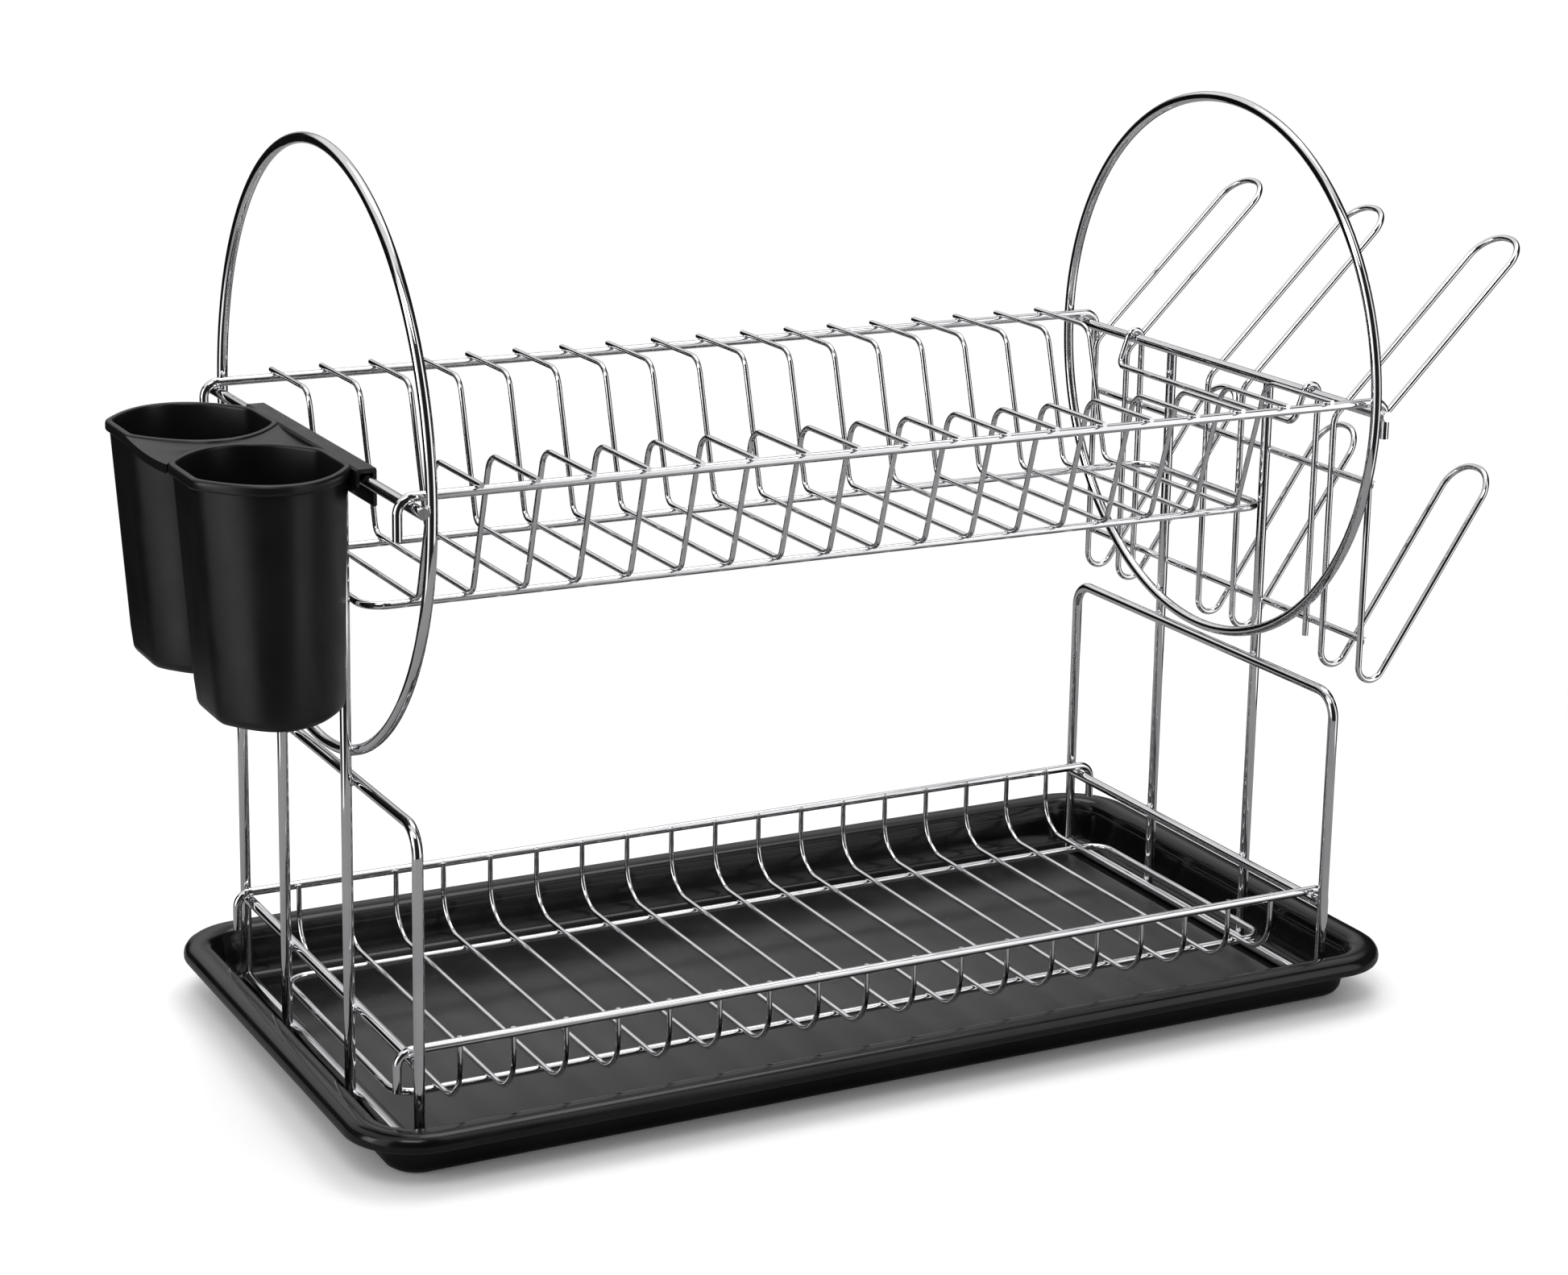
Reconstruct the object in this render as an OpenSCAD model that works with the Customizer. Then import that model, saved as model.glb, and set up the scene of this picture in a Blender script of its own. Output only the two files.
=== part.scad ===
// Two-tier wire dish rack with a drip tray, two removable baskets, a glass rack and a cutlery holder.
// Millimetres. X runs along the length, Y from front to back, Z up.
// The origin is the middle of the tray's underside, on the worktop.

/* [Frames] */
// Half of the distance between the planes of the two end rings
ring_plane_x = 235.6; // [234:0.2:237]
// Wire of the rings, hoops, posts and bars of the side frames, diameter
frame_wire = 5; // [4.6:0.1:5.2]
// Radius of the ring, at the middle of its wire
ring_radius = 134.2; // [133:0.1:136]
// Height of the ring's centre and of the upper bar
ring_z = 293.7; // [292:0.1:296]
// Half of the distance between the two legs of a hoop
leg_y = 115; // [114:0.5:117]
// Height of the hoop's top bar
hoop_z = 152.5; // [150:0.5:153]
// Bend radius at the hoop's top corners
hoop_bend = 12; // [8:1:16]
// Half of the distance between the two posts of a side frame
post_y = 42.3; // [38:0.1:46]
// Height of the lower bar between the legs
lower_bar_z = 46.2; // [44:0.1:50]
// Height of the foot bar above the worktop
foot_bar_z = 5.3; // [5.3:0.1:6]
// Length that the upper bar stands out past the ring on each side
upper_bar_over = 3; // [2:0.5:5]

/* [Baskets] */
// Wires across one basket
wires = 18; // [14:2:18]
// Distance between two neighbouring cross wires
wire_pitch = 25; // [24:0.1:25.5]
// Cross wire diameter
cross_wire = 2.5; // [2.2:0.1:2.8]
// Rail wire diameter
rail_wire = 4.2; // [3.8:0.1:4.4]
// Bottom frame wire diameter
bottom_wire = 3.5; // [3:0.1:3.8]
// Half of the distance between the upper basket's rails
upper_rail_y = 126; // [124:0.5:126]
// Half of the distance between the lower basket's rails
lower_rail_y = 107; // [104:0.5:108]
// Height of the upper basket's bottom frame
upper_bottom_z = 232.8; // [228:0.1:240]
// Height of the lower basket's bottom frame
lower_bottom_z = 17; // [15:0.1:22]
// Length that a rail's hook hangs below the middle of the rail
hook_drop = 18; // [14:0.5:20]

/* [Tray] */
// Tray length over its rim
tray_length = 536; // [530:1:545]
// Tray width over its rim
tray_width = 284; // [280:1:290]
// Tray height
tray_height = 26; // [24:0.5:28]
// Thickness of the tray's floor and walls
tray_wall = 2.5; // [2:0.1:3]
// Width of the rolled rim
rim_width = 13; // [11:0.5:14]
// Corner radius of the rim
rim_corner = 34; // [28:1:40]

/* [Glass rack] */
// Wire of the prongs and of the carrier, diameter
prong_wire = 3; // [2.8:0.1:3.2]
// Bar wire diameter
rack_bar_wire = 3.4; // [3:0.1:3.6]
// Distance between two neighbouring prongs
prong_pitch = 105.5; // [100:0.5:106]
// Width of a prong between the middles of its two sides
prong_width = 30; // [26:0.5:31]
// Reach of the upper loops outward from the verticals
upper_loop_reach = 86; // [70:1:95]
// Rise of the upper loops above their lower bends
upper_loop_rise = 84; // [70:1:95]
// Reach of the lower loops outward from the verticals
lower_loop_reach = 76; // [65:1:85]
// Lean of the lower loops from upright, in degrees
lower_loop_lean = 34; // [30:1:42]

/* [Cutlery holder] */
// Height of the holder from its bottom to its rim
cup_height = 108; // [100:1:115]
// Length of a cup out from the frame, at the rim
cup_length = 67; // [62:1:72]
// Half of the distance between the middles of the cups
cup_offset = 46.5; // [45:0.5:48]
// Half width of a cup at its flat ends, at the rim
cup_end_half = 21.5; // [19:0.5:23]
// How far the long walls bow out past the ends
cup_bow = 18.5; // [15:0.5:20]
// Wall thickness of the cups
cup_wall = 1.8; // [1.5:0.1:2.2]

/* [Hidden] */
$fn = 24;
slip = 0.3;
set_in = 0.25;
butt_in = 0.4;
joint_gap = 0.05;
joint_proud = 0.02;
frame_r = frame_wire / 2;
rail_r = rail_wire / 2;
cross_r = cross_wire / 2;
bottom_r = bottom_wire / 2;
prong_r = prong_wire / 2;
rack_bar_r = rack_bar_wire / 2;
// The posts and the upper bars lie on the outer side of the rings and hoops.
post_x = ring_plane_x + frame_wire - set_in;
floor_z = tray_wall;
leg_foot_z = floor_z + slip;
// The rails lie on the bars, and their ends turn down outside them.
rail_seat = frame_r + rail_r + slip;
rail_bend = 7;
upper_rail_z = ring_z + rail_seat;
lower_rail_z = lower_bar_z + rail_seat;
upper_hook_x = post_x + rail_bend;
lower_hook_x = ring_plane_x + rail_bend;
// The bottom frames end a little inside the bars.
upper_bottom_half = post_x - frame_r - bottom_r - 2;
lower_bottom_half = ring_plane_x - frame_r - bottom_r - 0.8;
// Upper cross wires: rail, slope, bottom, slope, rail.
upper_wire_z = upper_rail_z + rail_r + cross_r - set_in;
upper_floor_z = upper_bottom_z + bottom_r + cross_r - set_in;
upper_shoulder_y = 79;
upper_heel_y = 59;
upper_bottom_y = 52;
upper_wire_over = 5;
shoulder_bend = 10;
heel_bend = 6;
// Lower cross wires: down behind the rail, a wide curve, bottom, a wide curve, up to the rail.
lower_wire_y = lower_rail_y - rail_r - cross_r + set_in;
lower_floor_z = lower_bottom_z + bottom_r + cross_r - set_in;
lower_wire_top = lower_rail_z + 1;
lower_bottom_y = 75;
lower_bend = 18;
bottom_bend = 11;
// Glass rack.
prong_x = post_x + frame_r + prong_r + slip;
rack_bar_x = prong_x + prong_r + rack_bar_r - set_in;
rack_bar_half = 121.5;
rack_bar_upper_z = 257;
rack_bar_lower_z = 180;
prong_bend_z = 284;
prong_bend_r = 9;
turn_r = 7.5;
turn_z = 160;
loop_flat = 1;
carrier_y = 77;
carrier_low_z = 172;
carrier_inner_x = 231;
carrier_inner_z = 280;
carrier_corner = 4.5;
// Cutlery holder: its channel hangs over the left upper bar.
rim_z = 299;
lip = 1.6;
lip_height = 8;
channel_wall = 2;
channel_drop = 17;
channel_half = 72;
channel_gap = frame_r + slip;
cup_inner_x = -post_x - channel_gap - lip;
cup_taper_outer = 8;
cup_taper_inner = 2;
cup_taper_y = 4;
web_half = 30;
web_dip = 6;
web_radius = 70;
// Tray.
body_inset = 17;
body_corner = 23;
rim_drop = 8;

tray();
ring(-1);  // left_ring
hoop(-1);  // left_hoop
upper_bar(-1);  // left_upper_bar
lower_bar(-1);  // left_lower_bar
foot_bar(-1);  // left_foot_bar
post(-1, -1);  // left_post_front
post(-1, 1);  // left_post_back
ring(1);  // right_ring
hoop(1);  // right_hoop
upper_bar(1);  // right_upper_bar
lower_bar(1);  // right_lower_bar
foot_bar(1);  // right_foot_bar
post(1, -1);  // right_post_front
post(1, 1);  // right_post_back
upper_rail(-1);  // upper_rail_front
upper_rail(1);  // upper_rail_back
upper_bottom_frame();
for (i = [1:wires])
    upper_wire(i);
lower_rail(-1);  // lower_rail_front
lower_rail(1);  // lower_rail_back
lower_bottom_frame();
for (i = [1:wires / 2])
    lower_wires(i);
rack_carrier();
rack_bar(rack_bar_upper_z);  // rack_bar_upper
rack_bar(rack_bar_lower_z);  // rack_bar_lower
prong(-prong_pitch);  // prong_front
prong(0);  // prong_middle
prong(prong_pitch);  // prong_back
cutlery_holder();

// Unit vector from p to q.
function heading(p, q) = (q - p) / norm(q - p);

// Turning angle at q on the way from p to s.
function turning(p, q, s) = acos(max(-1, min(1, heading(p, q) * heading(q, s))));

// Length that a bend of radius b takes from each side of the corner q.
function setback(p, q, s, b) = b * tan(turning(p, q, s) / 2);

// Straight rod from p to q.
module rod(p, q, r) {
    d = q - p;
    translate(p)
        rotate([0, acos(d[2] / norm(d)), atan2(d[1], d[0])])
            cylinder(h = norm(d), r = r);
}

// Bend of radius b at the corner q.
module bend(p, q, s, r, b) {
    t = heading(p, q);
    w = cross(t, heading(q, s)) / norm(cross(t, heading(q, s)));
    n = cross(w, t);
    c = q - t * setback(p, q, s, b) + n * b;
    multmatrix([
        [-n[0], t[0], w[0], c[0]],
        [-n[1], t[1], w[1], c[1]],
        [-n[2], t[2], w[2], c[2]]
    ])
        rotate_extrude(angle = turning(p, q, s), $fn = 48)
            translate([b, 0])
                circle(r = r, $fn = 24);
}

// Bent wire along the corners in pts, with the bend radius of each corner in b.
// On slanted wires a ball a hair thicker than the wire joins each straight to its bend.
module wire(pts, r, b, closed = false, balls = false) {
    gap = balls ? joint_gap : 0;
    n = len(pts);
    last = closed ? n - 1 : n - 2;
    for (i = [0:last]) {
        p = pts[i];
        q = pts[(i + 1) % n];
        bent_p = closed || i > 0;
        bent_q = closed || i < n - 2;
        cut_p = bent_p ? setback(pts[(i + n - 1) % n], p, q, b[i]) : 0;
        cut_q = bent_q ? setback(p, q, pts[(i + 2) % n], b[(i + 1) % n]) : 0;
        t = heading(p, q);
        from = p + t * cut_p;
        to = q - t * cut_q;
        rod(from + t * (bent_p ? gap : 0), to - t * (bent_q ? gap : 0), r);
        if (balls && bent_p)
            translate(from)
                sphere(r = r + joint_proud);
        if (balls && bent_q)
            translate(to)
                sphere(r = r + joint_proud);
        if (bent_q)
            bend(p, q, pts[(i + 2) % n], r, b[(i + 1) % n]);
    }
}

// Big end ring that keeps the plates in.
module ring(side) {
    color("silver")
        translate([side * ring_plane_x, 0, ring_z])
            rotate([0, 90, 0])
                rotate_extrude($fn = 180)
                    translate([ring_radius, 0])
                        circle(r = frame_r, $fn = 32);
}

// Hoop of two legs and a top bar, standing in the tray.
module hoop(side) {
    x = side * ring_plane_x;
    color("silver")
        wire([
            [x, -leg_y, leg_foot_z],
            [x, -leg_y, hoop_z],
            [x, leg_y, hoop_z],
            [x, leg_y, leg_foot_z]
        ], frame_r, [0, hoop_bend, hoop_bend, 0]);
}

// Bar across the middle of the ring, on its outer side.
module upper_bar(side) {
    x = side * post_x;
    h = ring_radius + upper_bar_over;
    color("silver")
        rod([x, -h, ring_z], [x, h, ring_z], frame_r);
}

// Bar between the legs that carries the lower basket.
module lower_bar(side) {
    x = side * ring_plane_x;
    h = leg_y - frame_r + butt_in;
    color("silver")
        rod([x, -h, lower_bar_z], [x, h, lower_bar_z], frame_r);
}

// Bar between the feet, on the tray's floor.
module foot_bar(side) {
    x = side * ring_plane_x;
    h = leg_y - frame_r + butt_in;
    color("silver")
        rod([x, -h, foot_bar_z], [x, h, foot_bar_z], frame_r);
}

// Upright outside the ring and hoop, from the foot bar to the upper bar.
module post(side, end) {
    x = side * post_x;
    y = end * post_y;
    color("silver")
        rod([x, y, leg_foot_z], [x, y, ring_z - frame_r + butt_in], frame_r);
}

// Rail along a basket, with both ends turned down outside the bars.
module hooked_rail(y, z, hook_x) {
    wire([
        [-hook_x, y, z - hook_drop],
        [-hook_x, y, z],
        [hook_x, y, z],
        [hook_x, y, z - hook_drop]
    ], rail_r, [0, rail_bend, rail_bend, 0]);
}

module upper_rail(end) {
    color("silver")
        hooked_rail(end * upper_rail_y, upper_rail_z, upper_hook_x);
}

module lower_rail(end) {
    color("silver")
        hooked_rail(end * lower_rail_y, lower_rail_z, lower_hook_x);
}

// Closed rectangle of wire with rounded corners.
module bottom_frame(half_x, half_y, z) {
    wire([
        [-half_x, -half_y, z],
        [half_x, -half_y, z],
        [half_x, half_y, z],
        [-half_x, half_y, z]
    ], bottom_r, [bottom_bend, bottom_bend, bottom_bend, bottom_bend], closed = true);
}

module upper_bottom_frame() {
    color("silver")
        bottom_frame(upper_bottom_half, upper_bottom_y, upper_bottom_z);
}

module lower_bottom_frame() {
    color("silver")
        bottom_frame(lower_bottom_half, lower_bottom_y, lower_bottom_z);
}

// Where cross wire i stands along the basket.
function wire_x(i) = (i - (wires + 1) / 2) * wire_pitch;

// Cross wire of the upper basket: its sloping sides lean the plates.
module upper_wire(i) {
    x = wire_x(i);
    e = upper_rail_y + upper_wire_over;
    s = upper_shoulder_y;
    h = upper_heel_y;
    color("silver")
        wire([
            [x, e, upper_wire_z],
            [x, s, upper_wire_z],
            [x, h, upper_floor_z],
            [x, -h, upper_floor_z],
            [x, -s, upper_wire_z],
            [x, -e, upper_wire_z]
        ], cross_r, [0, shoulder_bend, heel_bend, heel_bend, shoulder_bend, 0], balls = true);
}

// Cross wire of the lower basket.
module lower_wire(i) {
    x = wire_x(i);
    y = lower_wire_y;
    color("silver")
        wire([
            [x, y, lower_wire_top],
            [x, y, lower_floor_z],
            [x, -y, lower_floor_z],
            [x, -y, lower_wire_top]
        ], cross_r, [0, lower_bend, lower_bend, 0]);
}

// Two neighbouring cross wires of the lower basket.
module lower_wires(i) {
    lower_wire(2 * i - 1);
    lower_wire(2 * i);
}

// Angle from upright of a line through the inner rail that clears the upper bar by one wire.
hook_clear = post_x - prong_x;
hook_dx = post_x - carrier_inner_x;
hook_dz = ring_z - carrier_inner_z;
hook_lean = atan(hook_dx / hook_dz) - asin(-hook_clear / norm([hook_dx, hook_dz]));
hook_apex_z = carrier_inner_z + (prong_x - carrier_inner_x) / tan(hook_lean);

// Wire that hooks twice over the right upper bar and carries the glass rack's bars.
module rack_carrier() {
    k = -hook_clear;
    c = carrier_corner;
    color("silver")
        wire([
            [prong_x, -carrier_y, carrier_low_z],
            [prong_x, -carrier_y, hook_apex_z],
            [carrier_inner_x, -carrier_y, carrier_inner_z],
            [carrier_inner_x, carrier_y, carrier_inner_z],
            [prong_x, carrier_y, hook_apex_z],
            [prong_x, carrier_y, carrier_low_z]
        ], prong_r, [0, k, c, c, k, 0], balls = true);
}

// Bar across the glass rack.
module rack_bar(z) {
    color("silver")
        rod([rack_bar_x, -rack_bar_half, z], [rack_bar_x, rack_bar_half, z], rack_bar_r);
}

// Prong: one closed wire with a leaning upper loop, two uprights and a lower loop.
module prong(y) {
    w = prong_width / 2;
    e = w - loop_flat;
    turn_corner = turn_z + turn_r - turn_r * tan(90 - lower_loop_lean / 2);
    out_z = turn_corner + lower_loop_reach / tan(lower_loop_lean);
    top = [prong_x + upper_loop_reach, prong_bend_z + upper_loop_rise];
    low = [prong_x + lower_loop_reach, out_z];
    color("silver")
        wire([
            [top[0], y + w, top[1]],
            [prong_x, y + w, prong_bend_z],
            [prong_x, y + w, turn_corner],
            [low[0], y + w, low[1]],
            [low[0], y - w, low[1]],
            [prong_x, y - w, turn_corner],
            [prong_x, y - w, prong_bend_z],
            [top[0], y - w, top[1]]
        ], prong_r, [e, prong_bend_r, turn_r, e, e, turn_r, prong_bend_r, e], closed = true, balls = true);
}

// Rectangle with rounded corners, standing on z = 0.
module rounded_box(l, w, h, r) {
    linear_extrude(height = h)
        union() {
            square([l - 2 * r, w], center = true);
            square([l, w - 2 * r], center = true);
            for (x = [-1, 1], y = [-1, 1])
                translate([x * (l / 2 - r), y * (w / 2 - r)])
                    circle(r = r, $fn = 96);
        }
}

// Drip tray: open box with a broad rim that turns down outside its walls.
module tray() {
    l = tray_length - 2 * body_inset;
    w = tray_width - 2 * body_inset;
    t = 2 * tray_wall;
    color("black")
        difference() {
            union() {
                translate([0, 0, tray_height - rim_drop])
                    rounded_box(tray_length, tray_width, rim_drop, rim_corner);
                rounded_box(l, w, tray_height - tray_wall / 2, body_corner);
            }
            translate([0, 0, floor_z])
                rounded_box(l - t, w - t, tray_height, body_corner - tray_wall);
            // Hollow under the rim.
            translate([0, 0, tray_height - rim_drop - tray_wall])
                difference() {
                    rounded_box(tray_length - t, tray_width - t, rim_drop, rim_corner - tray_wall);
                    translate([0, 0, -tray_wall])
                        rounded_box(l, w, rim_drop + t, body_corner);
                }
        }
}

// Overlap of two large cones that makes the bowed walls of a cup.
module bowed_walls(centre, radius, height, taper) {
    intersection() {
        translate([0, centre, 0])
            cylinder(h = height, r1 = radius - taper, r2 = radius, $fn = 180);
        translate([0, -centre, 0])
            cylinder(h = height, r1 = radius - taper, r2 = radius, $fn = 180);
    }
}

// Solid with the outline of a cup: two bowed walls and two flat ends.
// It is narrower at the bottom by the tapers of its outer end, inner end and sides.
module cup_form(length, end_half, bow, height, outer, inner, sides) {
    half = length / 2;
    radius = (half * half + bow * bow) / (2 * bow);
    centre = radius - bow - end_half;
    intersection() {
        bowed_walls(centre, radius, height, sides);
        rotate([90, 0, 0])
            linear_extrude(height = 4 * radius, center = true)
                polygon([
                    [outer - half, 0],
                    [half - inner, 0],
                    [half, height],
                    [-half, height]
                ]);
    }
}

// Sagging web between the rims of the two cups.
module web(mid_x) {
    length = cup_length + 2 * lip;
    intersection() {
        translate([mid_x, 0, rim_z - web_dip + web_radius])
            rotate([0, 90, 0])
                difference() {
                    cylinder(h = length, r = web_radius + channel_wall, center = true, $fn = 180);
                    cylinder(h = 2 * length, r = web_radius, center = true, $fn = 180);
                }
        translate([mid_x - length, -web_half, rim_z - 2 * web_dip])
            cube([2 * length, 2 * web_half, 2 * web_dip]);
    }
}

// Twin cutlery cups, joined by a web at the rim, with a channel over the left upper bar.
module cutlery_holder() {
    mid_x = cup_inner_x - cup_length / 2;
    bottom_z = rim_z - cup_height;
    bar_top = ring_z + channel_gap;
    leg_x = channel_gap - post_x;
    color("black")
        difference() {
            union() {
                for (s = [-1, 1]) {
                    translate([mid_x, s * cup_offset, bottom_z])
                        cup_form(cup_length, cup_end_half, cup_bow, cup_height,
                            cup_taper_outer, cup_taper_inner, cup_taper_y);
                    translate([mid_x, s * cup_offset, rim_z - lip_height])
                        cup_form(cup_length + 2 * lip, cup_end_half + lip, cup_bow, lip_height, 0, 0, 0);
                }
                web(mid_x);
                // Channel: back wall, top strip and a drop leg on the inner side.
                translate([cup_inner_x, -channel_half, rim_z - lip_height])
                    cube([lip, 2 * channel_half, lip_height]);
                translate([cup_inner_x, -channel_half, bar_top])
                    cube([leg_x + channel_wall - cup_inner_x, 2 * channel_half, rim_z - bar_top]);
                translate([leg_x, -channel_half, rim_z - channel_drop])
                    cube([channel_wall, 2 * channel_half, channel_drop]);
            }
            for (s = [-1, 1])
                translate([mid_x, s * cup_offset, bottom_z + cup_wall])
                    cup_form(cup_length - 2 * cup_wall, cup_end_half, cup_bow - cup_wall, cup_height,
                        cup_taper_outer, cup_taper_inner, cup_taper_y);
        }
}
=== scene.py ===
import math
import bmesh
import bpy
from mathutils import Matrix, Vector


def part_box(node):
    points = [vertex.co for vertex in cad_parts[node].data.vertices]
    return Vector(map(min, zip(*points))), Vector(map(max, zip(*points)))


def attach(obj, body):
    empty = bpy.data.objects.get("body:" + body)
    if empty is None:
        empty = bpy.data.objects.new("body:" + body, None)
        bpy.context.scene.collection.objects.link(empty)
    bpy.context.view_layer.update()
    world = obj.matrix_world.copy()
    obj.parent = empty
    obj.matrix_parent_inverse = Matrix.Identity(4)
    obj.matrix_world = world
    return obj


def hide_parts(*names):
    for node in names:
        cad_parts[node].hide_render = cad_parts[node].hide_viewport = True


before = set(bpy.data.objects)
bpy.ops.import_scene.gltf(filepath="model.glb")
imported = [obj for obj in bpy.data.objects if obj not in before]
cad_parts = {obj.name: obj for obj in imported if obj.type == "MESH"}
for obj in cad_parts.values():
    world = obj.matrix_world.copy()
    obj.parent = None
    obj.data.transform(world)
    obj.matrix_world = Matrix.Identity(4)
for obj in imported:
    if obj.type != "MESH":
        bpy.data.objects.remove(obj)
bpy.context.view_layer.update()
MM = 0.001

# ---------------------------------------------------------------- helpers


def link(obj):
    bpy.context.scene.collection.objects.link(obj)
    return obj


def mesh_object(name, verts, faces):
    """New object with outward normals, shaded smoothly."""
    me = bpy.data.meshes.new(name)
    me.from_pydata([tuple(v) for v in verts], [], faces)
    bm = bmesh.new()
    bm.from_mesh(me)
    bmesh.ops.remove_doubles(bm, verts=bm.verts, dist=1e-7)
    bmesh.ops.recalc_face_normals(bm, faces=bm.faces)
    bm.to_mesh(me)
    bm.free()
    me.shade_smooth()
    return link(bpy.data.objects.new(name, me))


def sharp_by_angle(obj, degrees):
    """Keeps edges steeper than this angle crisp while the rest shades smoothly."""
    bm = bmesh.new()
    bm.from_mesh(obj.data)
    limit = math.radians(degrees)
    for f in bm.faces:
        f.smooth = True
    for e in bm.edges:
        if len(e.link_faces) == 2 and e.calc_face_angle(0) > limit:
            e.smooth = False
    bm.to_mesh(obj.data)
    bm.free()


def loft(rings):
    """Closed rings of equal length joined into one skin, closed at both ends."""
    verts, faces, n = [], [], len(rings[0])
    for ring in rings:
        verts.extend(ring)
    for k in range(len(rings) - 1):
        for i in range(n):
            j = (i + 1) % n
            faces.append((k * n + i, k * n + j, (k + 1) * n + j, (k + 1) * n + i))
    faces.append(tuple(range(n - 1, -1, -1)))
    faces.append(tuple(range((len(rings) - 1) * n, len(rings) * n)))
    return verts, faces


# ---------------------------------------------------------------- materials


def new_material(name, color, metallic, roughness, specular=0.5):
    m = bpy.data.materials.new(name)
    m.use_nodes = True
    b = m.node_tree.nodes["Principled BSDF"]
    b.inputs["Base Color"].default_value = (*color, 1)
    b.inputs["Metallic"].default_value = metallic
    b.inputs["Roughness"].default_value = roughness
    b.inputs["Specular IOR Level"].default_value = specular
    return m


def noise(m, scale, detail=4.0):
    """Noise over the object's own coordinates, in metres."""
    t = m.node_tree
    c = t.nodes.new("ShaderNodeTexCoord")
    n = t.nodes.new("ShaderNodeTexNoise")
    n.inputs["Scale"].default_value = scale
    n.inputs["Detail"].default_value = detail
    n.inputs["Roughness"].default_value = 0.55
    t.links.new(c.outputs["Object"], n.inputs["Vector"])
    return n.outputs["Fac"]


def vary_roughness(m, fac, low, high):
    """Roughness between these two values, by the noise."""
    t = m.node_tree
    r = t.nodes.new("ShaderNodeMapRange")
    r.inputs["From Min"].default_value = 0.3
    r.inputs["From Max"].default_value = 0.7
    r.inputs["To Min"].default_value = low
    r.inputs["To Max"].default_value = high
    t.links.new(fac, r.inputs["Value"])
    t.links.new(r.outputs["Result"], t.nodes["Principled BSDF"].inputs["Roughness"])


def vary_color(m, fac, a, b):
    """Base colour between these two, by the noise."""
    t = m.node_tree
    r = t.nodes.new("ShaderNodeValToRGB")
    r.color_ramp.elements[0].position = 0.35
    r.color_ramp.elements[0].color = (*a, 1)
    r.color_ramp.elements[1].position = 0.7
    r.color_ramp.elements[1].color = (*b, 1)
    t.links.new(fac, r.inputs["Fac"])
    t.links.new(r.outputs["Color"], t.nodes["Principled BSDF"].inputs["Base Color"])


def bump(m, fac, strength, distance):
    t = m.node_tree
    b = t.nodes.new("ShaderNodeBump")
    b.inputs["Strength"].default_value = strength
    b.inputs["Distance"].default_value = distance
    t.links.new(fac, b.inputs["Height"])
    t.links.new(b.outputs["Normal"], t.nodes["Principled BSDF"].inputs["Normal"])


def make_chrome():
    m = new_material("chrome_wire", (0.78, 0.78, 0.79), 1.0, 0.06)
    vary_roughness(m, noise(m, 90.0), 0.03, 0.09)
    vary_color(m, noise(m, 35.0), (0.74, 0.74, 0.76), (0.86, 0.86, 0.87))
    bump(m, noise(m, 160.0, 2.0), 0.03, 0.0002)
    return m


def make_weld():
    m = new_material("chrome_weld", (0.72, 0.72, 0.73), 1.0, 0.14)
    vary_roughness(m, noise(m, 400.0), 0.08, 0.24)
    vary_color(m, noise(m, 250.0), (0.55, 0.55, 0.56), (0.82, 0.82, 0.83))
    bump(m, noise(m, 900.0, 3.0), 0.25, 0.0004)
    return m


def make_gloss_black():
    m = new_material("tray_gloss_black", (0.004, 0.004, 0.0045), 0.0, 0.16, specular=0.32)
    vary_roughness(m, noise(m, 40.0), 0.10, 0.2)
    vary_color(m, noise(m, 14.0), (0.002, 0.002, 0.0022), (0.006, 0.006, 0.0062))
    bump(m, noise(m, 320.0, 4.0), 0.05, 0.0003)
    return m


def make_ribbed_black():
    m = new_material("tray_rib_black", (0.014, 0.014, 0.014), 0.0, 0.2, specular=0.5)
    vary_roughness(m, noise(m, 55.0), 0.15, 0.28)
    vary_color(m, noise(m, 18.0), (0.010, 0.010, 0.010), (0.020, 0.020, 0.020))
    bump(m, noise(m, 600.0, 4.0), 0.06, 0.0002)
    return m


def make_satin_black():
    m = new_material("holder_satin_black", (0.003, 0.003, 0.0032), 0.0, 0.34, specular=0.36)
    vary_roughness(m, noise(m, 60.0), 0.28, 0.38)
    vary_color(m, noise(m, 22.0), (0.0022, 0.0022, 0.0024), (0.005, 0.005, 0.0052))
    bump(m, noise(m, 1600.0, 4.0), 0.10, 0.00015)
    return m


CHROME = make_chrome()
WELD = make_weld()
GLOSS = make_gloss_black()
RIBBED = make_ribbed_black()
SATIN = make_satin_black()


def paint(obj, mat):
    obj.data.materials.clear()
    obj.data.materials.append(mat)


def finish_piece(obj, body, slot, mat, *replaced):
    paint(obj, mat)
    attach(obj, body)
    if replaced:
        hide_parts(*replaced)
    return obj


# ---------------------------------------------------------------- wires

for node_name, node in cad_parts.items():
    if node_name not in ("tray", "cutlery_holder"):
        paint(node, CHROME)
        node.data.shade_smooth()

# ---------------------------------------------------------------- drip tray

TRAY_LO, TRAY_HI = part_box("tray")
RIM_CORNER = 34 * MM
LEAST_CORNER = 4 * MM
CORNER_STEPS = 20


def rounded_ring(inset, z):
    """Outline of the tray at this inset from its outer edge."""
    hx = (TRAY_HI.x - TRAY_LO.x) / 2 - inset
    hy = (TRAY_HI.y - TRAY_LO.y) / 2 - inset
    cx, cy = (TRAY_HI.x + TRAY_LO.x) / 2, (TRAY_HI.y + TRAY_LO.y) / 2
    r = max(RIM_CORNER - inset, LEAST_CORNER)
    ring = []
    for k, (sx, sy) in enumerate(((1, 1), (-1, 1), (-1, -1), (1, -1))):
        corner_x, corner_y = cx + sx * (hx - r), cy + sy * (hy - r)
        for i in range(CORNER_STEPS + 1):
            a = math.radians(90 * k + 90 * i / CORNER_STEPS)
            ring.append(Vector((corner_x + r * math.cos(a), corner_y + r * math.sin(a), z)))
    return ring


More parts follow.
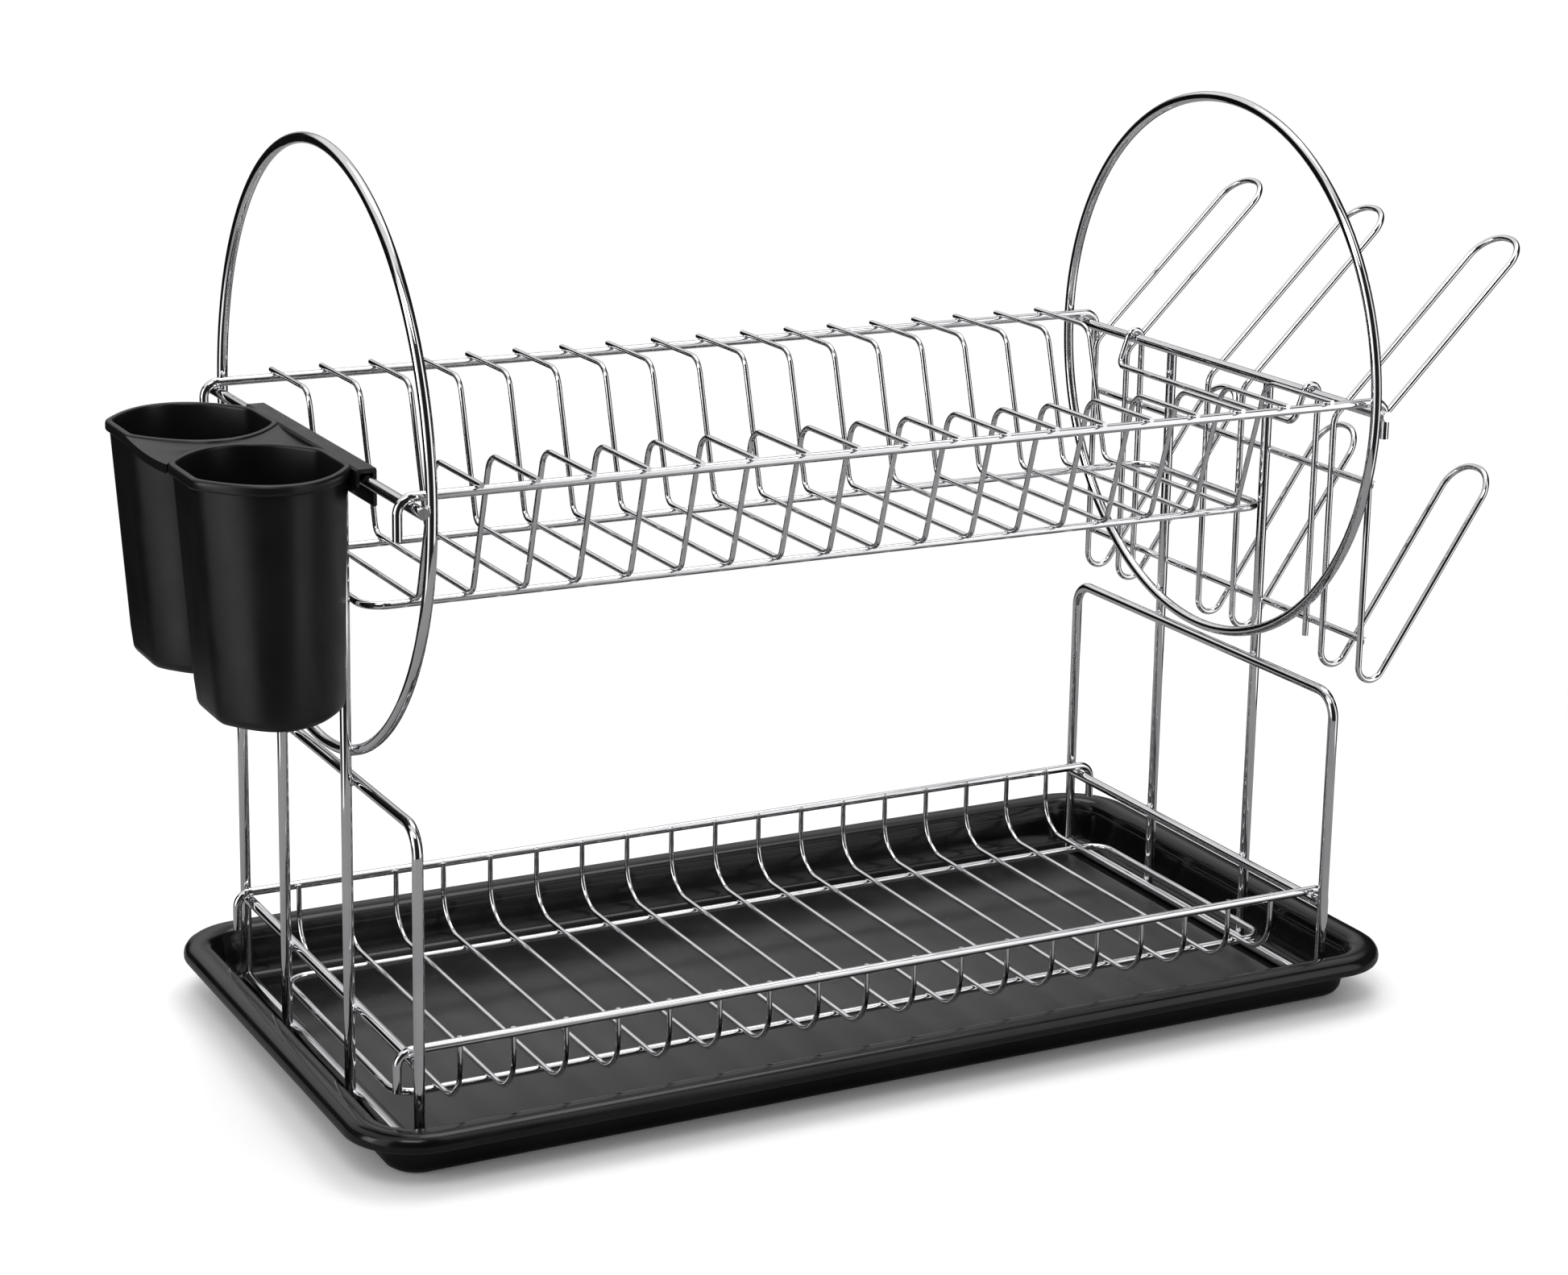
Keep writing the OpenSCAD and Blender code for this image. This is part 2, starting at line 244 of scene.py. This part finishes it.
# Inset from the outer edge and height, in millimetres, from under the floor
# over the rolled rim and down the sloping inner wall.
TRAY_PROFILE = [
    (30, 0.0), (24.5, 0.0), (21.8, 0.5), (19.6, 1.9), (18.0, 4.2), (17.4, 7.0), (17.0, 13.0),
    (16.6, 19.0), (15.6, 20.6), (13.5, 21.2), (5.0, 21.2), (3.2, 20.6), (2.6, 19.3),
    (2.2, 18.2), (1.4, 18.0), (0.6, 18.4), (0.1, 19.4), (0.0, 20.8), (0.35, 22.6), (1.3, 24.2),
    (2.9, 25.3), (5.0, 25.9), (7.4, 26.0), (9.8, 25.8), (12.0, 25.1), (13.8, 23.9), (15.1, 22.2),
    (16.1, 19.6), (17.2, 15.0), (18.3, 10.0), (19.2, 6.6), (20.4, 4.4), (22.0, 3.2), (24.0, 2.7),
    (26.0, 2.55), (34, 2.5),
]


def build_tray():
    rings = [rounded_ring(d * MM, TRAY_LO.z + z * MM) for d, z in TRAY_PROFILE]
    obj = mesh_object("tray_shell", *loft(rings))
    sharp_by_angle(obj, 60)
    return finish_piece(obj, "tray", "tray_plastic", GLOSS, "tray")


RIB_MARGIN = 38 * MM
RIB_PITCH = 1.5 * MM
RIB_BASE = TRAY_LO.z + 2.3 * MM
RIB_VALLEY = TRAY_LO.z + 2.55 * MM
RIB_TOP = TRAY_LO.z + 2.95 * MM
RIB_SHOULDER = RIB_TOP - 0.1 * MM


def rib_section():
    """Rows of low ribs seen from the front, from left to right, as (x, z)."""
    half = (TRAY_HI.x - TRAY_LO.x) / 2 - RIB_MARGIN
    n = int(2 * half / RIB_PITCH)
    x0 = -n * RIB_PITCH / 2
    x_end = x0 + n * RIB_PITCH
    section = [(x0 - RIB_PITCH, RIB_BASE)]
    for i in range(n):
        x = x0 + i * RIB_PITCH
        section += [
            (x, RIB_VALLEY),
            (x + 0.3 * RIB_PITCH, RIB_SHOULDER),
            (x + 0.5 * RIB_PITCH, RIB_TOP),
            (x + 0.7 * RIB_PITCH, RIB_SHOULDER),
        ]
    return section + [(x_end, RIB_VALLEY), (x_end + RIB_PITCH, RIB_BASE)]


def build_floor_ribs():
    """Fine ribs that run from front to back over the tray's floor, with sloping ends."""
    half = (TRAY_HI.y - TRAY_LO.y) / 2 - RIB_MARGIN
    section = rib_section()
    flat = [(x, RIB_BASE) for x, z in section]
    verts, faces = [], []
    rows = ((-half - RIB_PITCH, flat), (-half, section), (half, section), (half + RIB_PITCH, flat))
    for y, row in rows:
        verts += [Vector((x, y, z)) for x, z in row]
    k = len(section)
    for j in range(len(rows) - 1):
        for i in range(k - 1):
            faces.append((j * k + i, j * k + i + 1, (j + 1) * k + i + 1, (j + 1) * k + i))
    faces.append((0, k - 1, 4 * k - 1, 3 * k))
    obj = mesh_object("tray_floor_ribs", verts, faces)
    sharp_by_angle(obj, 50)
    return finish_piece(obj, "tray", "tray_plastic", RIBBED)


build_tray()
build_floor_ribs()

# ---------------------------------------------------------------- cutlery holder

HOLD_LO, HOLD_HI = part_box("cutlery_holder")
BAR_LO, BAR_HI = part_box("left_upper_bar")
LIP = 1.6 * MM
BAND = 4.8 * MM
WALL = 1.8 * MM
BAR_SLIP = 0.35 * MM
CHANNEL_HALF = 72 * MM
RIM_Z = HOLD_HI.z
BOTTOM_Z = HOLD_LO.z
OUTER_X = HOLD_LO.x + LIP
INNER_X = BAR_LO.x - 1.9 * MM
CUP_Y = 46.5 * MM
CUP_MID = (OUTER_X + INNER_X) / 2
CUP_HALF = (INNER_X - OUTER_X) / 2
END_HALF = 16.5 * MM
BOW = (HOLD_HI.y - CUP_Y) - END_HALF
BOW_POWER = 2.1
CUP_HEIGHT = RIM_Z - BOTTOM_Z
OUTLINE_STEPS = 160
SIDE_STEPS = 48
SMOOTH_ROUNDS = 5
# How far each part of the outline draws in from the rim to the bottom
TAPER_OUTER = 8 * MM
TAPER_INNER = 2 * MM
TAPER_END = 1.5 * MM
TAPER_BOW = 2.5 * MM


def smooth_closed(points):
    """Evens out a closed outline's corners."""
    for _ in range(SMOOTH_ROUNDS):
        n = len(points)
        points = [(points[i - 1] + points[i] * 2 + points[(i + 1) % n]) / 4 for i in range(n)]
    return points


def cup_outline(half_out, half_in, end_half, bow):
    """Outline round a cup's middle: two bowed sides and two flat ends, evenly spaced."""
    pts = []
    for side in (1, -1):
        for i in range(SIDE_STEPS + 1):
            u = side * (-1 + 2 * i / SIDE_STEPS)
            y = side * (end_half + bow * (1 - abs(u) ** BOW_POWER))
            pts.append(Vector(((half_in if u > 0 else half_out) * u, y, 0)))
    pts.append(pts[0])
    lengths = [0.0]
    for a, b in zip(pts, pts[1:]):
        lengths.append(lengths[-1] + (b - a).length)
    out, k = [], 0
    for i in range(OUTLINE_STEPS):
        d = lengths[-1] * i / OUTLINE_STEPS
        while lengths[k + 1] < d:
            k += 1
        t = (d - lengths[k]) / max(lengths[k + 1] - lengths[k], 1e-9)
        out.append(pts[k].lerp(pts[k + 1], t))
    return smooth_closed(out)


def cup_ring(level, offset, cy):
    """Ring of a cup at a height from 0, the bottom, to 1, the rim, moved outward by offset."""
    t = 1 - level
    ring = cup_outline(
        CUP_HALF - TAPER_OUTER * t, CUP_HALF - TAPER_INNER * t, END_HALF - TAPER_END * t, BOW - TAPER_BOW * t
    )
    n = len(ring)
    moved = []
    for i, p in enumerate(ring):
        tangent = (ring[(i + 1) % n] - ring[i - 1]).normalized()
        normal = Vector((tangent.y, -tangent.x, 0))
        if normal.dot(p) < 0:
            normal = -normal
        q = p + normal * offset
        moved.append(Vector((CUP_MID + q.x, cy + q.y, BOTTOM_Z + CUP_HEIGHT * level)))
    return moved


def at_height(ring, z):
    return [Vector((p.x, p.y, z)) for p in ring]


def rounded_bottom(cy, offset, radius, angles, floor_z):
    """Rings round the curve from a cup's floor to its wall."""
    rings = []
    for a in angles:
        out = offset - radius + radius * math.sin(math.radians(a))
        rise = radius - radius * math.cos(math.radians(a))
        rings.append(at_height(cup_ring(0, out, cy), floor_z + rise))
    return rings


def cup(name, cy):
    """Tapered cup: up its outside, over the rim band and down its inside."""
    band_z = RIM_Z - BAND
    band_level = (band_z - BOTTOM_Z) / CUP_HEIGHT
    wall_levels = (0.12, 0.3, 0.5, 0.7, 0.85)
    rim = [
        (LIP - 0.25 * MM, band_z + 0.5 * MM),
        (LIP, band_z + 1.1 * MM),
        (LIP, RIM_Z - 1.3 * MM),
        (LIP - 0.35 * MM, RIM_Z - 0.4 * MM),
        (LIP - 1.1 * MM, RIM_Z),
        (-0.9 * MM, RIM_Z),
        (-1.6 * MM, RIM_Z - 0.4 * MM),
        (-WALL, RIM_Z - 1.4 * MM),
    ]
    rings = rounded_bottom(cy, 0, 5 * MM, range(0, 91, 15), BOTTOM_Z)
    rings += [cup_ring(level, 0, cy) for level in wall_levels]
    rings.append(cup_ring(band_level, 0, cy))
    rings.append(at_height(cup_ring(band_level, 0.9 * MM, cy), band_z + 0.15 * MM))
    rings += [at_height(cup_ring(1, offset, cy), z) for offset, z in rim]
    rings += [cup_ring(level, -WALL, cy) for level in reversed(wall_levels)]
    rings += rounded_bottom(cy, -WALL, 4 * MM, range(90, -1, -30), BOTTOM_Z + WALL)
    obj = mesh_object(name, *loft(rings))
    sharp_by_angle(obj, 70)
    return obj


WEB_DIP = 1.6 * MM
WEB_SKIRT = 4.0 * MM
WEB_THICKNESS = 2.2 * MM
WEB_DROP = 0.7 * MM


def web_half(x):
    """Half the width of the web here, out to the cups' bowed sides."""
    u = max(-1.0, min(1.0, (x - CUP_MID) / (CUP_HALF + LIP)))
    return max(CUP_Y - END_HALF - BOW * (1 - abs(u) ** BOW_POWER) - 0.2 * MM, 2 * MM)


def build_web():
    """Slightly sunk web between the two rims, with a skirt at its two open edges."""
    nx, ny = 28, 24
    x_out, x_in = OUTER_X - LIP, INNER_X + LIP
    verts, faces = [], []
    for layer in ("top", "under"):
        for i in range(nx + 1):
            x = x_out + (x_in - x_out) * i / nx
            half = web_half(x)
            for j in range(ny + 1):
                v = -1 + 2 * j / ny
                sag = WEB_DIP * (1 - v**2) * min(1.0, half / (14 * MM) + 0.25)
                z = RIM_Z - WEB_DROP - sag
                if layer == "under":
                    z -= WEB_SKIRT if i in (0, nx) else WEB_THICKNESS
                verts.append(Vector((x, half * v, z)))
    k, size = ny + 1, (nx + 1) * (ny + 1)
    for i in range(nx):
        for j in range(ny):
            a, b, c, d = i * k + j, i * k + j + 1, (i + 1) * k + j + 1, (i + 1) * k + j
            faces.append((a, b, c, d))
            faces.append((size + d, size + c, size + b, size + a))
        for j in (0, ny):
            a, d = i * k + j, (i + 1) * k + j
            faces.append((a, d, size + d, size + a))
    for j in range(ny):
        for i in (0, nx):
            a, b = i * k + j, i * k + j + 1
            faces.append((b, a, size + a, size + b))
    obj = mesh_object("holder_web", verts, faces)
    sharp_by_angle(obj, 50)
    return obj


def channel_section():
    """The channel seen along the bar: back wall, flat top and a longer drop leg, as (x, z)."""
    x0, x1, x2, x3 = INNER_X - 0.2 * MM, BAR_LO.x - BAR_SLIP, BAR_HI.x + BAR_SLIP, HOLD_HI.x
    top, under = RIM_Z, BAR_HI.z + BAR_SLIP
    wall_foot, leg_foot = RIM_Z - 8 * MM, RIM_Z - 17 * MM
    return [
        (x0, wall_foot), (x0, top - 0.9 * MM), (x0 + 0.9 * MM, top), (x3 - 1.1 * MM, top),
        (x3 - 0.3 * MM, top - 0.4 * MM), (x3, top - 1.3 * MM), (x3, leg_foot + 0.6 * MM),
        (x3 - 0.6 * MM, leg_foot), (x2 + 0.5 * MM, leg_foot), (x2, leg_foot + 0.6 * MM),
        (x2, under + 0.6 * MM), (x2 - 0.6 * MM, under), (x1 + 0.6 * MM, under),
        (x1, under - 0.6 * MM), (x1, wall_foot),
    ]


def build_channel():
    """Channel that hangs over the bar. Its section shrinks a little at both ends, to ease the edges."""
    section = channel_section()
    n = len(section)
    ends = ((0, 0.25), (0.25, 0.08), (0.8, 0))
    stations = [(-CHANNEL_HALF + inset * MM, shrink) for inset, shrink in ends]
    stations += [(CHANNEL_HALF - inset * MM, shrink) for inset, shrink in reversed(ends)]
    rings = []
    for y, shrink in stations:
        ring = []
        for i, (x, z) in enumerate(section):
            px, pz = section[i - 1]
            qx, qz = section[(i + 1) % n]
            tx, tz = qx - px, qz - pz
            step = shrink * MM / math.hypot(tx, tz)
            ring.append(Vector((x + tz * step, y, z - tx * step)))
        rings.append(ring)
    obj = mesh_object("holder_channel", *loft(rings))
    sharp_by_angle(obj, 35)
    return obj


HOLDER = ("cutlery_holder", "holder_plastic", SATIN)
finish_piece(cup("holder_cup_front", -CUP_Y), *HOLDER, "cutlery_holder")
finish_piece(cup("holder_cup_back", CUP_Y), *HOLDER)
finish_piece(build_web(), *HOLDER)
finish_piece(build_channel(), *HOLDER)

# ---------------------------------------------------------------- welds


# Radii of the wires, by use
CROSS_R = 1.25 * MM
PRONG_R = 1.5 * MM
BOTTOM_R = 1.75 * MM
RAIL_R = 2.1 * MM
FRAME_R = 2.5 * MM
HOOP_INSET = 5 * MM


def add_bead(bm, centre, radii, turn):
    """Small squeezed weld bead. No two neighbours have quite the same outline."""
    for v in bmesh.ops.create_icosphere(bm, subdivisions=2, radius=1.0)["verts"]:
        w = 1 + 0.08 * math.sin(turn * 3.1 + 5 * v.co.x + 4 * v.co.y)
        scaled = Vector((v.co.x * radii[0] * w, v.co.y * radii[1] * w, v.co.z * radii[2]))
        v.co = Vector(centre) + scaled


def weld_piece(name, body, beads):
    """One piece of all a body's beads, each given by its centre and its radii in millimetres."""
    bm = bmesh.new()
    for turn, (centre, radii) in enumerate(beads):
        add_bead(bm, centre, [r * MM for r in radii], turn)
    me = bpy.data.meshes.new(name)
    bm.to_mesh(me)
    bm.free()
    me.shade_smooth()
    return finish_piece(link(bpy.data.objects.new(name, me)), body, "wire", WELD)


def mid(node):
    lo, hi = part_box(node)
    return (lo + hi) / 2


def bottom_frame_rows(basket):
    """Top of the basket's bottom frame and the middles of its two long sides."""
    lo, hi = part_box(f"{basket}_bottom_frame")
    return hi.z, (lo.y + BOTTOM_R, hi.y - BOTTOM_R)


def upper_basket_welds():
    beads = []
    rail_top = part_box("upper_rail_front")[1].z
    frame_top, rows = bottom_frame_rows("upper")
    for i in range(1, 19):
        x = mid(f"upper_wire_{i}").x
        for end in ("front", "back"):
            beads.append(((x, mid(f"upper_rail_{end}").y, rail_top), (2.0, 1.7, 0.7)))
        for y in rows:
            beads.append(((x, y, frame_top), (1.8, 1.5, 0.6)))
    weld_piece("upper_basket_welds", "upper_basket", beads)


def lower_basket_welds():
    beads = []
    rail_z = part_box("lower_rail_front")[1].z - RAIL_R
    frame_top, rows = bottom_frame_rows("lower")
    for i in range(1, 10):
        lo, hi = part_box(f"lower_wires_{i}")
        for x in (lo.x + CROSS_R, hi.x - CROSS_R):
            for side, end in ((-1, "front"), (1, "back")):
                y = mid(f"lower_rail_{end}").y - side * RAIL_R
                beads.append(((x, y, rail_z), (1.9, 0.7, 1.6)))
            for y in rows:
                beads.append(((x, y, frame_top), (1.8, 1.5, 0.6)))
    weld_piece("lower_basket_welds", "lower_basket", beads)


def stand_welds():
    beads = []
    for side in ("left", "right"):
        ring = mid(f"{side}_ring")
        bar = mid(f"{side}_upper_bar")
        contact = (ring.x + bar.x) / 2
        ring_lo, ring_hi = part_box(f"{side}_ring")
        ring_r = (ring_hi.y - ring_lo.y) / 2 - FRAME_R
        hoop_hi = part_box(f"{side}_hoop")[1]
        cross_heights = (mid(f"{side}_lower_bar").z, mid(f"{side}_foot_bar").z)
        for s, end in ((-1, "front"), (1, "back")):
            beads.append(((contact, s * ring_r, bar.z), (1.0, 2.6, 2.6)))
            post_y = mid(f"{side}_post_{end}").y
            ring_low = ring.z - math.sqrt(ring_r**2 - post_y**2)
            for z in (hoop_hi.z - FRAME_R, ring_low, *cross_heights):
                beads.append(((contact, post_y, z), (1.0, 2.5, 2.5)))
            for z in cross_heights:
                beads.append(((ring.x, s * (hoop_hi.y - HOOP_INSET), z), (2.75, 0.9, 2.75)))
    weld_piece("stand_welds", "stand", beads)


def glass_rack_welds():
    beads = []
    wires = ("prong_front", "prong_middle", "prong_back", "rack_carrier")
    for bar in ("rack_bar_upper", "rack_bar_lower"):
        centre = mid(bar)
        for wire in wires:
            lo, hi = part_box(wire)
            for y in (lo.y + PRONG_R, hi.y - PRONG_R):
                beads.append(((centre.x - 1.6 * MM, y, centre.z), (0.7, 1.8, 1.8)))
    weld_piece("glass_rack_welds", "glass_rack", beads)


upper_basket_welds()
lower_basket_welds()
stand_welds()
glass_rack_welds()

# ---------------------------------------------------------------- stage, light, camera


FLOOR_RADIUS = 0.66


def make_floor_white():
    """White to the eye and grey to mirror rays, like the room round it."""
    m = new_material("pale_floor", (0.93, 0.93, 0.93), 0.0, 0.6)
    t = m.node_tree
    mirrored = t.nodes.new("ShaderNodeBsdfDiffuse")
    mirrored.inputs["Color"].default_value = (0.22, 0.22, 0.22, 1)
    mix = t.nodes.new("ShaderNodeMixShader")
    t.links.new(t.nodes.new("ShaderNodeLightPath").outputs["Is Glossy Ray"], mix.inputs["Fac"])
    t.links.new(t.nodes["Principled BSDF"].outputs[0], mix.inputs[1])
    t.links.new(mirrored.outputs[0], mix.inputs[2])
    t.links.new(mix.outputs[0], t.nodes["Material Output"].inputs["Surface"])
    return m


def build_stage():
    """Round table top."""
    me = bpy.data.meshes.new("floor")
    bm = bmesh.new()
    bmesh.ops.create_circle(bm, cap_ends=True, segments=96, radius=FLOOR_RADIUS)
    bm.to_mesh(me)
    bm.free()
    floor = link(bpy.data.objects.new("floor", me))
    paint(floor, make_floor_white())


def area(name, location, target, size, power):
    """Rectangular light at a place, turned toward a point."""
    data = bpy.data.lights.new(name, "AREA")
    data.shape = "RECTANGLE"
    data.size, data.size_y = size
    data.energy = power
    obj = link(bpy.data.objects.new(name, data))
    obj.location = location
    obj.rotation_euler = (Vector(target) - Vector(location)).to_track_quat("-Z", "Y").to_euler()
    return obj


PANELS = 3
PANEL_TURN = math.radians(-120)


def build_world():
    """White room for the eye and for soft light, and a darker one for gloss to mirror.

    The darker room has bright upright panels round its sides, dimmer at the back, and a pale
    ceiling that reaches lower at the back. It makes the black and white bands on the chrome.
    """
    w = bpy.data.worlds.new("studio")
    bpy.context.scene.world = w
    w.use_nodes = True
    t = w.node_tree
    t.nodes.clear()

    def node(kind, **values):
        n = t.nodes.new(kind)
        for k, v in values.items():
            setattr(n, k, v)
        return n

    def math_node(operation, a, b=None):
        n = node("ShaderNodeMath", operation=operation)
        for k, v in enumerate((a, b)):
            if v is None:
                continue
            if isinstance(v, (int, float)):
                n.inputs[k].default_value = v
            else:
                t.links.new(v, n.inputs[k])
        return n.outputs[0]

    def ramp(fac, *stops):
        n = node("ShaderNodeValToRGB")
        e = n.color_ramp.elements
        while len(e) < len(stops):
            e.new(0.5)
        for k, (position, value) in enumerate(stops):
            e[k].position, e[k].color = position, (value, value, value, 1)
        t.links.new(fac, n.inputs["Fac"])
        return n.outputs["Color"]

    sep = node("ShaderNodeSeparateXYZ")
    t.links.new(node("ShaderNodeTexCoord").outputs["Generated"], sep.inputs["Vector"])
    angle = math_node("ARCTAN2", sep.outputs["Y"], sep.outputs["X"])
    wave = math_node("SINE", math_node("ADD", math_node("MULTIPLY", angle, PANELS), PANEL_TURN))
    fac = math_node("ADD", math_node("MULTIPLY", wave, 0.5), 0.5)
    panels = ramp(fac, (0.0, 0.01), (0.76, 0.03), (0.87, 0.9), (1.0, 1.3))
    toward_back = ramp(sep.outputs["Y"], (0.0, 1.0), (0.3, 0.3))
    sides = math_node("MULTIPLY", panels, toward_back)
    slope = math_node("ADD", sep.outputs["Z"], math_node("MULTIPLY", sep.outputs["Y"], 0.5))
    ceiling = ramp(slope, (0.0, 0.0), (0.74, 0.0), (0.86, 1.0))
    blend = node("ShaderNodeMix", data_type="RGBA")
    t.links.new(ceiling, blend.inputs["Factor"])
    t.links.new(sides, blend.inputs["A"])
    blend.inputs["B"].default_value = (0.85, 0.85, 0.85, 1)
    mirrored = node("ShaderNodeBackground")
    t.links.new(blend.outputs["Result"], mirrored.inputs["Color"])
    white = node("ShaderNodeBackground")
    white.inputs["Color"].default_value = (1, 1, 1, 1)
    mix = node("ShaderNodeMixShader")
    t.links.new(node("ShaderNodeLightPath").outputs["Is Glossy Ray"], mix.inputs["Fac"])
    t.links.new(white.outputs[0], mix.inputs[1])
    t.links.new(mirrored.outputs[0], mix.inputs[2])
    t.links.new(mix.outputs[0], node("ShaderNodeOutputWorld").inputs["Surface"])


CAMERA_PLACE = (-0.7131, -1.3522, 0.6130)
YAW, PITCH, ROLL = (math.radians(a) for a in (27.6, -13.2, 1.0))


def build_camera():
    """Camera at the front left, a little above the rack. Its shift is a tenth of the frame's width."""
    data = bpy.data.cameras.new("camera")
    data.sensor_width = 36.0
    data.lens = 76.29003
    data.shift_x = 0.000925
    data.shift_y = -0.098150
    data.clip_start, data.clip_end = 0.01, 100
    cam = link(bpy.data.objects.new("camera", data))
    ahead = Vector((math.sin(YAW) * math.cos(PITCH), math.cos(YAW) * math.cos(PITCH), math.sin(PITCH)))
    level = Vector((math.cos(YAW), -math.sin(YAW), 0))
    upright = level.cross(ahead)
    right = level * math.cos(ROLL) + upright * math.sin(ROLL)
    up = -level * math.sin(ROLL) + upright * math.cos(ROLL)
    m = Matrix((right, up, -ahead)).transposed().to_4x4()
    m.translation = CAMERA_PLACE
    cam.matrix_world = m
    bpy.context.scene.camera = cam


build_stage()
build_world()
area("key", (-1.0, -1.3, 2.4), (0, 0, 0.1), (1.1, 0.8), 14)
area("top", (0.3, 0.5, 2.2), (0, 0, 0.1), (1.6, 1.0), 16)
area("left", (-2.3, 0.1, 0.75), (0, 0, 0.2), (0.7, 1.3), 9)
build_camera()
bpy.context.scene.view_settings.view_transform = "Standard"
